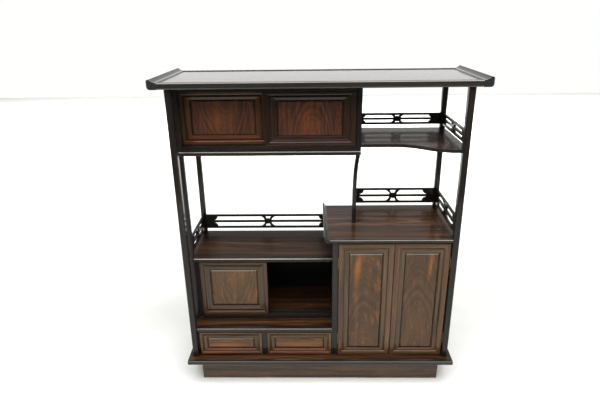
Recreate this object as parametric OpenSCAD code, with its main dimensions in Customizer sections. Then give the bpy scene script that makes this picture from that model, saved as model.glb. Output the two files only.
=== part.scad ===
// Display cabinet with staggered shelves.
// Four posts on a base board carry a top board with raised ends. Under the top board hangs a case
// with two sliding doors. At the right stands a cabinet with two hinged doors, at the left a bay
// with two sliding doors over two drawers. Low openwork rails edge the open shelves.
// X points right, Y to the back and Z up. The origin is on the floor, under the middle.

/* [Overall] */
// Width over the raised ends of the top board
top_w = 1198; // [1180:2:1260]
// Depth of the base board, the deepest piece
base_d = 424; // [414:2:440]
// Height of the top board's upper face above the floor
total_h = 1276; // [1240:2:1330]
// Distance from the base board's back edge to the back of the posts and shelves
back_inset = 2; // [0:0.5:6]

/* [Plinth and base board] */
// Height of the plinth
plinth_h = 106; // [80:1:130]
// Distance of the plinth behind the base board's front and end edges
plinth_recess = 49; // [40:1:60]
// Distance of the plinth's back board from the base board's back edge
plinth_back_inset = 7; // [2:1:20]
// Thickness of the plinth boards
plinth_t = 20; // [15:1:25]
// Width of the base board
base_w = 1118; // [1100:2:1150]
// Thickness of the base board
base_t = 18; // [15:1:24]

/* [Top board] */
// Thickness of the top board
top_t = 24.5; // [20:0.5:28]
// Distance of the top board's front edge behind the base board's
top_setback = 20; // [10:1:30]
// Width of each raised end piece
lip_w = 37; // [32:0.5:48]
// Height of the raised ends above the top board
lip_h = 11; // [8:0.5:18]
// Radius of the outer upper arris of the raised ends
lip_r = 13.5; // [4:0.5:17]
// Radius of the outer lower arris of the raised ends
lip_low_r = 16; // [2:0.5:17]
// Radius of the outer front corners, seen from above
top_corner_r = 12; // [4:0.5:14]
// Depth of the shallow recess in the top board's upper face
top_recess = 3; // [1.5:0.25:5]
// Width of the rim in front of the recess
top_rim_front = 10; // [6:0.5:16]
// Width of the rim behind the recess
top_rim_back = 8; // [5:0.5:12]
// Radius along the front edge of the top board
top_nose_r = 6; // [3:0.5:9]

/* [Posts and poles] */
// Width over the outer faces of the posts
posts_w = 1086; // [1080:1:1094]
// Width of a front post
front_post_w = 24; // [20:1:28]
// Depth of a front post
front_post_d = 28; // [24:1:32]
// Distance of the front posts behind the base board's front edge
front_post_setback = 36.5; // [34:0.5:38]
// Side of a square back post
back_post_s = 23; // [17:1:26]
// Side of the square inner pole
pole_s = 20; // [16:1:22]
// Radius along the arrises of posts and poles
post_r = 5; // [2:0.5:7]
// Side of the tenons on the posts and the pole
tenon_s = 12; // [8:1:14]
// Length of the tenons
tenon_h = 9; // [6:0.5:12]

/* [Curved pole] */
// Thickness of the curved pole
curve_s = 16; // [12:0.5:18]
// Distance of the pole's foot to the right of the cabinet's left side
curve_foot_x = 94; // [80:0.5:100]
// Place of the pole's foot behind the front plane of the hanging case
curve_foot_y = 89; // [82:0.5:96]
// Radius of the forward bend
curve_bend_r = 255; // [240:1:270]
// Angle of the forward bend
curve_bend_a = 44; // [40:1:46]
// Turn of the bend's plane to the right
curve_turn = 3; // [0:0.5:6]
// Radius of the bead at the pole's head
curve_bead_r = 8.5; // [8:0.25:9.5]
// Height of the bead at the pole's head
curve_bead_h = 16; // [14:0.5:18]
// Side of the short post under the lower right rails
short_post_s = 14; // [12:0.5:16]
// Distance of the short post to the right of the cabinet's left side
short_post_x = 108; // [100:0.5:116]

/* [Hanging case] */
// Distance of the case, left shelf and bay front behind the base board's front edge
case_setback = 130; // [125:1:138]
// Clear height inside the case
case_inside_h = 249.5; // [240:0.5:262]
// Thickness of the case's bottom board
case_bottom_t = 16.5; // [14:0.5:20]
// Overhang of the bottom board in front of the case
case_bottom_lip = 5; // [2:0.5:7]
// Place of the case's right face from the middle
case_right_x = 160; // [150:1:170]
// Thickness of the case's right side board
case_side_t = 18.5; // [15:0.5:22]
// Thickness of the case's left side panel
case_panel_t = 5; // [4:0.25:5]
// Height of the sill under the case's doors
case_sill_h = 20; // [12:0.5:22]
// Height of the header over the case's doors
case_header_h = 24.5; // [22:0.5:32]
// Height of the step along the header's lower edge
header_step_h = 9; // [6:0.5:11]
// Depth of the step along the header's lower edge
header_step = 1; // [0.5:0.25:1.5]

/* [Shelves at the left] */
// Clear height between the base board and the middle board
drawer_space_h = 115; // [108:0.5:122]
// Thickness of the middle board
mid_t = 17; // [14:0.5:20]
// Clear height of the bay between the middle board and the left shelf
bay_h = 270; // [260:0.5:284]
// Thickness of the left shelf
left_shelf_t = 17; // [15:0.5:20]
// Thickness of the side board beside the bay
side_t = 19; // [10:0.5:22]
// Thickness of the side board beside the drawers
drawer_side_t = 7; // [5:0.5:12]
// Distance of both side boards behind the doors and drawers in front of them
side_setback = 9; // [4:0.5:12]
// Height of the bay's sill
bay_sill_h = 12; // [9:0.5:15]
// Overhang of the middle board in front of the drawers
mid_overhang = 2; // [1:0.5:4]
// Width of the divider between the drawers
divider_w = 20; // [16:1:40]
// Distance of the divider's middle left of the cabinet's left side
divider_x = 286; // [276:1:290]

/* [Shelf at the upper right] */
// Clear height between the shelf and the top board
s_space_h = 223; // [216:0.5:240]
// Thickness of the shelf
s_shelf_t = 13; // [9:0.5:16]
// Place where the front edge's curve starts, from the case's right face
s_start = 115; // [105:1:125]
// Length of the front edge's curve along the shelf
s_length = 237; // [230:1:242]
// Advance of the curved front edge towards the front posts
s_advance = 92; // [86:1:94]

/* [Right cabinet] */
// Place of the cabinet's left face from the middle
cab_x = 52; // [44:1:60]
// Thickness of the cabinet's left side
cab_side_t = 23; // [20:0.5:26]
// Thickness of the cabinet's right side panel
cab_panel_t = 16; // [12:0.5:18]
// Distance of the doors' and drawers' faces behind the base board's front edge
low_setback = 48; // [47:0.5:50]
// Clear height inside the cabinet
cab_h = 530; // [515:1:545]
// Thickness of the cabinet's top board
cab_top_t = 14; // [12:0.5:16]
// Overhang of the cabinet's top board in front of the doors
cab_overhang = 8; // [6:0.5:10]
// Overhang of the curled end beyond the cabinet's left face
curl_overhang = 34; // [30:0.5:38]
// Height of the curled end above the cabinet's top
curl_h = 14; // [12:0.5:16]
// Outer radius of the curled end
curl_r = 23; // [21:0.5:26]
// Thickness of the curled end
curl_t = 8; // [7:0.5:9]
// Height of the inner shelf above the base board
inner_shelf_z = 262; // [200:1:320]
// Thickness of the inner shelf
inner_shelf_t = 14; // [10:0.5:18]
// Distance of the inner shelf's front edge behind the doors' faces
inner_shelf_setback = 64; // [50:1:90]
// Radius of the pegs under the inner shelf
peg_r = 3; // [2:0.25:4]
// Length of a peg inside the side board
peg_in = 8; // [6:0.5:10]
// Length of a peg under the shelf
peg_out = 10; // [6:0.5:14]
// Height of the strip that the hinged doors close against
stop_h = 14; // [10:0.5:18]
// Thickness of the strip that the hinged doors close against
stop_t = 12; // [8:0.5:16]

/* [Back panels and shelf edges] */
// Thickness of the back panels
back_t = 6; // [4:0.5:8]
// Distance of the back panels' rear faces in front of the posts' backs
back_panel_inset = 4; // [2:0.5:6]
// Radius along the front edges of the shelves
nose_r = 4; // [2:0.5:5]

/* [Door and drawer frames] */
// Thickness of doors and drawer fronts
door_t = 20; // [18:0.5:22]
// Share of a frame's width that the flat outer band takes on the case's doors
case_band = 0.25; // [0.18:0.01:0.46]
// Share of a frame's width that the flat outer band takes on the bay's doors
bay_band = 0.18; // [0.16:0.01:0.5]
// Share of a frame's width that the flat outer band takes on hinged doors
low_band = 0.32; // [0.18:0.01:0.46]
// Share of a frame's width that the flat outer band takes on drawers
drawer_band = 0.18; // [0.16:0.01:0.4]
// Share of a frame's width that the round fall inside the band takes
step_share = 0.2; // [0.08:0.01:0.24]
// Place of the inner moulding's ridge between the groove and the inner edge, as a share
ridge_place = 0.42; // [0.3:0.01:0.6]
// Depth of the inner moulding's ridge below the band
ridge_d = 0.75; // [0:0.25:2]
// Place of the moulding's inner edge as a share of the frame's width
bead_share = 0.93; // [0.84:0.01:0.95]
// Share of a frame's width that the groove for the panel takes
slot_share = 0.12; // [0.09:0.01:0.14]
// Share of a frame's width that the rounded outer arris takes
arris_share = 0.12; // [0.03:0.01:0.15]
// Depth of the rounded outer arris
arris_d = 2.5; // [1:0.25:3.5]
// Depth of the groove inside the band
step_d = 5; // [3.5:0.25:6]
// Depth of the moulding's inner edge below the band
bead_d = 3; // [1.5:0.25:4]
// Depth of the channel beside the panel
channel_d = 7; // [6.5:0.25:8]
// Depth of the raised field of a panel below the band
field_d = 3; // [1:0.25:4.5]
// Width of the bevel round a panel's field
bevel_w = 5; // [3:0.5:8]
// Thickness of the wood in front of the panel's groove
slot_lip = 1; // [0.75:0.25:1.5]
// Thickness of a panel's tongue
panel_tongue_t = 3.6; // [3:0.1:4]

/* [Sliding doors of the case] */
// Width of each door
case_door_w = 348; // [344:1:352]
// Width of the stiles
case_stile = 53; // [48:1:62]
// Height of the bottom rail
case_rail_low = 38; // [34:1:48]
// Height of the top rail
case_rail_high = 33; // [26:1:40]

/* [Sliding doors of the bay] */
// Width of each door
bay_door_w = 284; // [282:1:300]
// Width of the stiles
bay_stile = 43; // [38:1:62]
// Height of the bottom rail
bay_rail_low = 50; // [44:1:56]
// Height of the top rail
bay_rail_high = 38; // [34:1:44]

/* [Door tracks] */
// Distance between the two doors of a pair
track_gap = 6; // [4:0.5:8]
// Distance of the front door behind the front plane
track_setback = 2; // [1:0.5:4]
// Thickness of the doors' tongues
tongue_t = 8; // [6:0.5:10]
// Height of the lower tongues
tongue_low = 4; // [3:0.25:5]
// Height of the upper tongues
tongue_high = 7; // [5:0.25:8]

/* [Hinged doors and drawers] */
// Width of a hinged door's stiles
hinged_stile = 43.5; // [38:0.5:48]
// Height of a hinged door's bottom rail
hinged_rail_low = 35; // [30:0.5:42]
// Height of a hinged door's top rail
hinged_rail_high = 46.5; // [38:0.5:50]
// Width of a drawer front's stiles
drawer_stile = 33.5; // [24:0.5:38]
// Height of a drawer front's rails
drawer_rail = 31; // [26:0.5:34]
// Gap between each hinged door and the wood beside it
door_side_gap = 1.4; // [1.2:0.1:2]
// Gap between the two hinged doors
door_meet_gap = 1; // [0.6:0.1:2]
// Gap over the hinged doors
door_top_gap = 3; // [2:0.5:5]
// Gap under the hinged doors and drawer fronts
low_gap = 2; // [1.5:0.25:4]
// Gap beside the drawer fronts
drawer_side_gap = 1; // [0.6:0.1:2]
// Gap over the drawer fronts
drawer_top_gap = 3; // [2:0.5:5]

/* [Drawer boxes] */
// Thickness of the drawer box sides and back
box_t = 10; // [8:0.5:12]
// Inset of the box sides from the ends of the front
box_inset = 6; // [4:0.5:8]
// Height of the box sides
box_h = 94; // [80:1:98]
// Depth of the box behind the front
box_d = 322; // [300:1:330]
// Thickness of the drawer bottom
bottom_t = 5; // [4:0.5:6]
// Height of the drawer bottom above the lower edge of the sides
bottom_z = 9; // [6:0.5:12]
// Depth of the grooves that hold the drawer bottom
bottom_groove = 5; // [3:0.5:6]
// Width of the runners under the drawer sides
runner_w = 14; // [12:1:18]

/* [Openwork rails] */
// Thickness of the openwork rails
gallery_t = 9; // [7:0.5:11]
// Height of each bar
bar_h = 8.5; // [5:0.5:10]
// Height of the rails at the upper right shelf
upper_gallery_h = 48; // [40:0.5:52]
// Height of the rails on the cabinet
right_gallery_h = 69; // [60:0.5:72]
// Height of the rails on the left shelf
left_gallery_h = 66.5; // [56:0.5:68]
// Gap under the rails at the upper right shelf
upper_gallery_gap = 17; // [14:0.5:26]
// Gap under the rails on the cabinet
right_gallery_gap = 17.5; // [14:0.5:24]
// Gap under the rails on the left shelf
left_gallery_gap = 20; // [16:0.5:26]
// Width of the end blocks
end_block_w = 34; // [28:1:44]
// Width of the end block at the right end of the upper rail
upper_block_w = 41; // [34:1:48]
// Width of the end block beside the short post
short_block_w = 20; // [14:1:30]
// Radius of the lobes on the end blocks of the upper rails
lobe_r = 8; // [6:0.5:10]
// Radius of the lobes on the end blocks of the taller rails
tall_lobe_r = 17; // [10:0.5:19]
// Radius of the round boss in the middle ornament
boss_r = 12; // [9:0.5:13]
// How far the boss stands out on each face
boss_out = 1; // [0.5:0.25:2]
// Width of the curved bands in the middle ornament
arc_w = 10; // [9:0.5:16]
// Bend of the curved bands
arc_sag = 18; // [5:0.5:20]
// Distance of the curved bands from the middle of the ornament
arc_neck = 5; // [5:0.5:10]

/* [Hinges] */
// Height of a hinge
hinge_h = 50; // [40:1:60]
// Distance of the hinges from the doors' ends
hinge_end = 60; // [40:1:90]
// Radius of a hinge's knuckles
knuckle_r = 2.2; // [2:0.1:2.5]
// Radius of a hinge's pin
pin_r = 1; // [0.8:0.1:1.2]
// Thickness of a hinge's leaves
leaf_t = 1; // [0.8:0.1:1.1]
// Width of a hinge's leaves behind the knuckle
leaf_w = 18; // [14:0.5:20]

/* [Clearances] */
// Clearance round tenons and panel tongues
fit = 0.2; // [0.1:0.05:0.4]
// Width of the mitre lines in the frames
mitre_gap = 0.2; // [0.1:0.05:0.3]
// Running clearance of sliding pieces
slide_fit = 0.4; // [0.3:0.05:0.8]
// Clearance between drawers and their runners
runner_fit = 0.3; // [0.2:0.05:0.5]
// Clearance of the pins in the knuckles
pin_fit = 0.05; // [0.03:0.01:0.1]
// Clearance between the knuckles along the pin and beside the wood
knuckle_fit = 0.25; // [0.2:0.05:0.4]
// Room in the wood above and below a hinge's knuckles
knuckle_room = 2; // [1:0.25:4]
// Gap between a hinge's leaves and the line through its pin
leaf_gap = 0.3; // [0.2:0.05:0.5]

/* [Hidden] */
$fn = 64;

// Depth planes, front to back
front_y = -base_d / 2;
rear_y = base_d / 2 - back_inset;
top_front_y = front_y + top_setback;
post_y = front_y + front_post_setback;
post_rear_y = post_y + front_post_d;
low_y = front_y + low_setback;
case_y = front_y + case_setback;
back_post_y = rear_y - back_post_s;
panel_rear_y = rear_y - back_panel_inset;
panel_y = panel_rear_y - back_t;
gallery_y = rear_y - back_post_s / 2 - gallery_t / 2;

// Levels, from the floor up and from the top down
base_z = plinth_h + base_t;
mid_under = base_z + drawer_space_h;
mid_z = mid_under + mid_t;
left_under = mid_z + bay_h;
left_z = left_under + left_shelf_t;
cab_under = base_z + cab_h;
cab_z = cab_under + cab_top_t;
top_under = total_h - top_t;
case_floor = top_under - case_inside_h;
case_under = case_floor - case_bottom_t;
s_z = top_under - s_space_h;

// Places across the width
half = posts_w / 2;
post_in = half - front_post_w;
back_in = half - back_post_s;
pole_in = half - pole_s;
side_in = pole_in - side_t;
drawer_side_in = post_in - drawer_side_t;
case_in = case_right_x - case_side_t;
cab_in = cab_x + cab_side_t;
cab_mid = (cab_in + post_in) / 2;
curve_x = cab_x + curve_foot_x;
curve_y = case_y + curve_foot_y;
mortise_s = tenon_s + 2 * fit;

// Doors and drawers
slot_d = channel_d + slot_lip;
slot_t = panel_tongue_t + 2 * fit;
pitch = door_t + track_gap;
case_door_z = case_floor + case_sill_h + slide_fit;
case_door_h = top_under - case_header_h - slide_fit - case_door_z;
bay_door_z = mid_z + bay_sill_h + slide_fit;
bay_door_h = left_under - slide_fit - bay_door_z;
hinged_w = (post_in - cab_in - 2 * door_side_gap - door_meet_gap) / 2;
hinged_h = cab_h - low_gap - door_top_gap;
divider_mid = cab_x - divider_x;
left_drawer_w = divider_mid - divider_w / 2 + drawer_side_in - 2 * drawer_side_gap;
right_drawer_w = cab_x - divider_mid - divider_w / 2 - 2 * drawer_side_gap;
drawer_h = drawer_space_h - low_gap - drawer_top_gap;
hinge_x = cab_in + door_side_gap / 2;
hinge_y = low_y - knuckle_r - knuckle_fit;
hinge_zs = [base_z + low_gap + hinge_end, base_z + low_gap + hinged_h - hinge_end - hinge_h];

// Colours
black_wood = "#1e1713";
brown_wood = "#3b2a21";
rosewood = "#5d3122";
inner_wood = "#6b4a33";
metal = "#4a4036";

// Box between two opposite corners
module block(x0, x1, y0, y1, z0, z1) {
    translate([x0, y0, z0])
        cube([x1 - x0, y1 - y0, z1 - z0]);
}

// Rectangle with four rounded corners
module rounded(x0, x1, y0, y1, r) {
    translate([x0 + r, y0])
        square([x1 - x0 - 2 * r, y1 - y0]);
    translate([x0, y0 + r])
        square([x1 - x0, y1 - y0 - 2 * r]);
    for (x = [x0 + r, x1 - r], y = [y0 + r, y1 - r])
        translate([x, y])
            circle(r);
}

// Upright bar with rounded arrises
module bar(x0, x1, y0, y1, z0, z1) {
    translate([0, 0, z0])
        linear_extrude(z1 - z0)
            rounded(x0, x1, y0, y1, post_r);
}

// Board along X whose front edge is rounded above and below
module board(x0, x1, y0, y1, z0, z1, r) {
    translate([x0, 0, 0])
        rotate([90, 0, 90])
            linear_extrude(x1 - x0) {
                translate([y0 + r, z0])
                    square([y1 - y0 - r, z1 - z0]);
                translate([y0, z0 + r])
                    square([y1 - y0, z1 - z0 - 2 * r]);
                for (z = [z0 + r, z1 - r])
                    translate([y0 + r, z])
                        circle(r);
            }
}

// Tenon centred on a bar, or the mortise that takes it
module tenon(x, y, z, s, h) {
    translate([x - s / 2, y - s / 2, z])
        cube([s, s, h]);
}

// Middles of the four posts
function post_mid(side, front) = front
    ? [side * (half - front_post_w / 2), post_y + front_post_d / 2]
    : [side * (half - back_post_s / 2), rear_y - back_post_s / 2];

module post_mortises(z, h) {
    for (side = [-1, 1], front = [true, false])
        tenon(post_mid(side, front)[0], post_mid(side, front)[1], z, mortise_s, h);
}

module post_cuts(z0, z1) {
    for (side = [-1, 1]) {
        x = side * half;
        block(min(x, side * post_in), max(x, side * post_in), post_y, post_rear_y, z0, z1);
        block(min(x, side * back_in), max(x, side * back_in), back_post_y, rear_y + 1, z0, z1);
    }
}

// Plinth, base and top

module plinth_boards() {
    x = base_w / 2 - plinth_recess;
    y0 = front_y + plinth_recess;
    y1 = base_d / 2 - plinth_back_inset;
    color(black_wood) {
        block(-x, x, y0, y0 + plinth_t, 0, plinth_h);
        block(-x, x, y1 - plinth_t, y1, 0, plinth_h);
        for (side = [-1, 1])
            block(side * x - (side + 1) / 2 * plinth_t, side * x - (side - 1) / 2 * plinth_t,
                  y0 + plinth_t + fit, y1 - plinth_t - fit, 0, plinth_h);
    }
}

module base_board() {
    color(black_wood)
        difference() {
            board(-base_w / 2, base_w / 2, front_y, base_d / 2, plinth_h, base_z, nose_r);
            post_mortises(base_z - tenon_h - fit, tenon_h + 1);
        }
}

module top_board() {
    x = top_w / 2 - lip_w;
    color(black_wood)
        difference() {
            board(-x, x, top_front_y, base_d / 2, top_under, total_h, top_nose_r);
            post_mortises(top_under - 1, tenon_h + fit + 1);
            block(-x - 1, x + 1, top_front_y + top_rim_front, base_d / 2 - top_rim_back, total_h - top_recess, total_h + 1);
        }
}

// Section of a raised end: its upper face sweeps up to a crest beside a rounded outer edge
module end_section() {
    inner = top_w / 2 - lip_w;
    outer = top_w / 2;
    run = lip_w - lip_r;
    sweep_r = (run * run + lip_h * lip_h) / (2 * lip_h);
    difference() {
        union() {
            translate([inner, top_under])
                square([run, top_t + lip_h]);
            translate([outer - lip_r, top_under + lip_low_r])
                square([lip_r, top_t + lip_h - lip_r - lip_low_r]);
            translate([inner, top_under])
                square([lip_w - lip_low_r, top_t]);
            translate([outer - lip_r, total_h + lip_h - lip_r])
                circle(lip_r);
            translate([outer - lip_low_r, top_under + lip_low_r])
                circle(lip_low_r);
        }
        translate([inner, total_h + sweep_r])
            circle(sweep_r, $fn = 180);
    }
}

// Outline of a raised end from above, with its front corner rounded
module end_plan() {
    inner = top_w / 2 - lip_w;
    r = top_corner_r;
    translate([inner, top_front_y + r])
        square([lip_w, base_d - top_setback - r]);
    translate([inner, top_front_y])
        square([lip_w - r, 2 * r]);
    translate([top_w / 2 - r, top_front_y + r])
        circle(r);
}

module top_end() {
    intersection() {
        translate([0, base_d / 2, 0])
            rotate([90, 0, 0])
                linear_extrude(base_d - top_setback)
                    end_section();
        translate([0, 0, top_under - 1])
            linear_extrude(top_t + lip_h + 2)
                end_plan();
    }
}

module top_end_left() {
    color(black_wood)
        mirror([1, 0, 0])
            top_end();
}

module top_end_right() {
    color(black_wood)
        top_end();
}

// Posts and poles

module post(side, front) {
    w = front ? front_post_w : back_post_s;
    d = front ? front_post_d : back_post_s;
    c = post_mid(side, front);
    bar(c[0] - w / 2, c[0] + w / 2, c[1] - d / 2, c[1] + d / 2, base_z, top_under);
    tenon(c[0], c[1], base_z - tenon_h, tenon_s, tenon_h + 1);
    tenon(c[0], c[1], top_under - 1, tenon_s, tenon_h + 1);
}

module front_post_left() {
    color(black_wood)
        post(-1, true);
}

module front_post_right() {
    color(black_wood)
        difference() {
            post(1, true);
            mirrored()
                hinge_recess(true);
        }
}

module back_post_left() {
    color(black_wood)
        post(-1, false);
}

module back_post_right() {
    color(black_wood)
        post(1, false);
}

module inner_pole() {
    x = -half + pole_s / 2;
    y = case_y + pole_s / 2;
    color(black_wood) {
        bar(-half, -pole_in, case_y, case_y + pole_s, mid_z, case_under);
        tenon(x, y, mid_z - tenon_h, tenon_s, tenon_h + 1);
        tenon(x, y, case_under - 1, tenon_s, tenon_h + 1);
    }
}

module pole_tenons() {
    x = -half + pole_s / 2;
    y = case_y + pole_s / 2;
    tenon(x, y, mid_z - tenon_h - fit, mortise_s, tenon_h + 1);
    tenon(x, y, case_under - 1, mortise_s, tenon_h + fit + 1);
}

// The pole rises straight from the cabinet's top, then bends forward to meet the case's corner
module curved_pole() {
    bend_end = case_under - curve_bead_h / 2;
    bend_start = bend_end - curve_bend_r * sin(curve_bend_a);
    reach = curve_bend_r * (1 - cos(curve_bend_a));
    h = curve_s / 2;
    color(black_wood)
        translate([curve_x, curve_y, 0]) {
            rotate([0, 0, curve_turn]) {
                translate([0, 0, cab_z])
                    linear_extrude(bend_start - cab_z)
                        rounded(-h, h, -h, h, post_r);
                translate([0, -curve_bend_r, bend_start])
                    rotate([0, -90, 0])
                        rotate([0, 0, 90])
                            rotate_extrude(angle = -curve_bend_a, $fn = 180)
                                rounded(curve_bend_r - h, curve_bend_r + h, -h, h, post_r);
                translate([0, -reach, case_under - curve_bead_h])
                    cylinder(r = curve_bead_r, h = curve_bead_h);
            }
        }
}

module short_post() {
    s = short_post_s / 2;
    x = cab_x + short_post_x;
    y = rear_y - back_post_s / 2;
    color(black_wood)
        block(x - s, x + s, y - s, y + s, cab_z, cab_z + right_gallery_gap + right_gallery_h);
}

// Hanging case

module case_bottom() {
    color(black_wood)
        difference() {
            board(-half, case_right_x, case_y - case_bottom_lip, rear_y, case_under, case_floor, nose_r);
            post_cuts(case_under - 1, case_floor + 1);
            pole_tenons();
        }
}

module case_side_right() {
    color(black_wood)
        block(case_in, case_right_x, case_y, rear_y, case_floor, top_under);
}

module case_stile_left() {
    color(black_wood)
        bar(-half, -pole_in, case_y, case_y + pole_s, case_floor, top_under);
}

module case_panel_left() {
    color(brown_wood)
        block(-half, -half + case_panel_t, case_y + pole_s, back_post_y, case_floor, top_under);
}

module case_back() {
    color(inner_wood)
        block(-back_in, case_in, panel_y, panel_rear_y, case_floor, top_under);
}

// Grooves of a pair of sliding doors, from the front plane back
module track_grooves(x0, x1, z0, z1) {
    for (track = [0, 1]) {
        y = case_y + track_setback + track * pitch + (door_t - tongue_t) / 2;
        block(x0, x1, y - slide_fit, y + tongue_t + slide_fit, z0, z1);
    }
}

track_d = 2 * track_setback + pitch + door_t;

module case_sill() {
    z = case_floor + case_sill_h;
    color(black_wood)
        difference() {
            union() {
                block(-pole_in, case_in, case_y, case_y + track_d, case_floor, z);
                block(-half + case_panel_t, -pole_in, case_y + pole_s, case_y + track_d, case_floor, z);
            }
            track_grooves(-half, case_right_x, z - tongue_low - slide_fit, z + 1);
        }
}

module case_header() {
    z = top_under - case_header_h;
    step_z = z + header_step_h;
    color(black_wood)
        difference() {
            union() {
                block(-pole_in, case_in, case_y, case_y + track_d, z, top_under);
                block(-half + case_panel_t, -pole_in, case_y + pole_s, case_y + track_d, z, top_under);
            }
            track_grooves(-half, case_right_x, z - 1, z + tongue_high + slide_fit);
            block(-half, case_right_x, case_y - 1, case_y + header_step, z - 1, step_z);
        }
}

// Frames and panels

// Section of a frame member: distance from the outer edge, depth behind the band
function member(w, band) = [
    [0, door_t],
    for (a = [0:30:90]) [arris_share * w * (1 - cos(a)), arris_d * (1 - sin(a))],
    for (a = [0:15:90]) [(band + step_share * sin(a)) * w, step_d * (1 - cos(a))],
    [(band + step_share + ridge_place * (bead_share - band - step_share)) * w, ridge_d],
    [bead_share * w, bead_d],
    [bead_share * w, channel_d],
    [w, channel_d],
    [w, slot_d],
    [w - slot_share * w, slot_d],
    [w - slot_share * w, slot_d + slot_t],
    [w, slot_d + slot_t],
    [w, door_t]
];

// Prism over an outline drawn in the plane of the door
module door_prism(outline) {
    translate([0, door_t + 1, 0])
        rotate([90, 0, 0])
            linear_extrude(door_t + 2)
                polygon(outline);
}

module stile(h, sw, low, high, band) {
    intersection() {
        linear_extrude(h)
            polygon(member(sw, band));
        door_prism([[-1, -low / sw], [sw, low], [sw, h - high], [-1, h + high / sw]]);
    }
}

module rail(w, sw, rw, band) {
    g = mitre_gap;
    intersection() {
        rotate([90, 0, 90])
            linear_extrude(w)
                polygon([for (p = member(rw, band)) [p[1], p[0]]]);
        door_prism([[g, 0], [w - g, 0], [w - sw - g, rw], [sw + g, rw]]);
    }
}

// Mitred frame, from its lower left front corner
module door_frame(w, h, sw, low, high, band) {
    stile(h, sw, low, high, band);
    translate([w, 0, 0])
        mirror([1, 0, 0])
            stile(h, sw, low, high, band);
    rail(w, sw, low, band);
    translate([0, 0, h])
        mirror([0, 0, 1])
            rail(w, sw, high, band);
}

// Section of a panel across an opening of length l, with tongues of lengths s0 and s1
function panel_section(l, s0, s1) = [
    [-s0, slot_d + fit],
    [fit, slot_d + fit],
    [fit, channel_d],
    [fit + bevel_w, field_d],
    [l - fit - bevel_w, field_d],
    [l - fit, channel_d],
    [l - fit, slot_d + fit],
    [l + s1, slot_d + fit],
    [l + s1, slot_d + fit + panel_tongue_t],
    [-s0, slot_d + fit + panel_tongue_t]
];

// Raised panel inside a frame
module door_panel(w, h, sw, low, high) {
    s = slot_share * sw - fit;
    s_low = slot_share * low - fit;
    s_high = slot_share * high - fit;
    intersection() {
        translate([sw, 0, 0])
            linear_extrude(h)
                polygon(panel_section(w - 2 * sw, s, s));
        translate([0, 0, low])
            rotate([90, 0, 90])
                linear_extrude(w)
                    polygon([for (p = panel_section(h - low - high, s_low, s_high)) [p[1], p[0]]]);
    }
}

// Tongues along the lower and upper edges of a sliding door
module door_tongues(w, h, sw) {
    y = (door_t - tongue_t) / 2;
    block(sw + mitre_gap, w - sw - mitre_gap, y, y + tongue_t, -tongue_low, 1);
    block(sw + mitre_gap, w - sw - mitre_gap, y, y + tongue_t, h - 1, h + tongue_high);
}

// Sliding doors of the hanging case

module at_case_door(left) {
    x = left ? -half + case_panel_t + slide_fit : case_in - slide_fit - case_door_w;
    translate([x, case_y + track_setback + (left ? pitch : 0), case_door_z])
        children();
}

module case_door_frame() {
    door_frame(case_door_w, case_door_h, case_stile, case_rail_low, case_rail_high, case_band);
    door_tongues(case_door_w, case_door_h, case_stile);
}

module case_door_panel() {
    door_panel(case_door_w, case_door_h, case_stile, case_rail_low, case_rail_high);
}

module case_door_left_frame() {
    color(brown_wood)
        at_case_door(true)
            case_door_frame();
}

module case_door_left_panel() {
    color(rosewood)
        at_case_door(true)
            case_door_panel();
}

module case_door_right_frame() {
    color(brown_wood)
        at_case_door(false)
            case_door_frame();
}

module case_door_right_panel() {
    color(rosewood)
        at_case_door(false)
            case_door_panel();
}

// Left shelf and bay

module left_shelf() {
    color(black_wood)
        difference() {
            board(-half, cab_x, case_y, rear_y, left_under, left_z, nose_r);
            post_cuts(left_under - 1, left_z + 1);
            block(-half - 1, -pole_in, case_y - 1, case_y + pole_s, left_under - 1, left_z + 1);
            track_grooves(-side_in, cab_x, left_under - 1, left_under + tongue_high + slide_fit);
        }
}

module bay_side_left() {
    color(black_wood)
        difference() {
            block(-pole_in, -side_in, case_y + side_setback, panel_y, mid_z, left_under);
            post_cuts(mid_z - 1, left_under + 1);
        }
}

module bay_sill() {
    z = mid_z + bay_sill_h;
    color(black_wood)
        difference() {
            block(-side_in, cab_x, case_y, case_y + track_d, mid_z, z);
            track_grooves(-side_in - 1, cab_x + 1, z - tongue_low - slide_fit, z + 1);
        }
}

module left_back() {
    color(inner_wood)
        block(-back_in, cab_x, panel_y, panel_rear_y, base_z, left_under);
}

// Both bay doors rest at the left, one behind the other
module at_bay_door(track) {
    translate([-side_in + slide_fit, case_y + track_setback + track * pitch, bay_door_z])
        children();
}

module bay_door_frame() {
    door_frame(bay_door_w, bay_door_h, bay_stile, bay_rail_low, bay_rail_high, bay_band);
    door_tongues(bay_door_w, bay_door_h, bay_stile);
}

module bay_door_panel() {
    door_panel(bay_door_w, bay_door_h, bay_stile, bay_rail_low, bay_rail_high);
}

module bay_door_front_frame() {
    color(brown_wood)
        at_bay_door(0)
            bay_door_frame();
}

module bay_door_front_panel() {
    color(rosewood)
        at_bay_door(0)
            bay_door_panel();
}

module bay_door_rear_frame() {
    color(brown_wood)
        at_bay_door(1)
            bay_door_frame();
}

module bay_door_rear_panel() {
    color(rosewood)
        at_bay_door(1)
            bay_door_panel();
}

// Drawers

module middle_board() {
    color(black_wood)
        difference() {
            board(-half, cab_x, low_y - mid_overhang, panel_y, mid_under, mid_z, nose_r);
            block(-half - 1, -post_in, front_y, post_rear_y, mid_under - 1, mid_z + 1);
            block(-half - 1, -back_in, back_post_y, rear_y, mid_under - 1, mid_z + 1);
            pole_tenons();
        }
}

module drawer_side_left() {
    color(black_wood)
        block(-post_in, -drawer_side_in, low_y + side_setback, panel_y, base_z, mid_under);
}

module drawer_divider() {
    color(black_wood)
        block(divider_mid - divider_w / 2, divider_mid + divider_w / 2, low_y, panel_y, base_z, mid_under);
}

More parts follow.
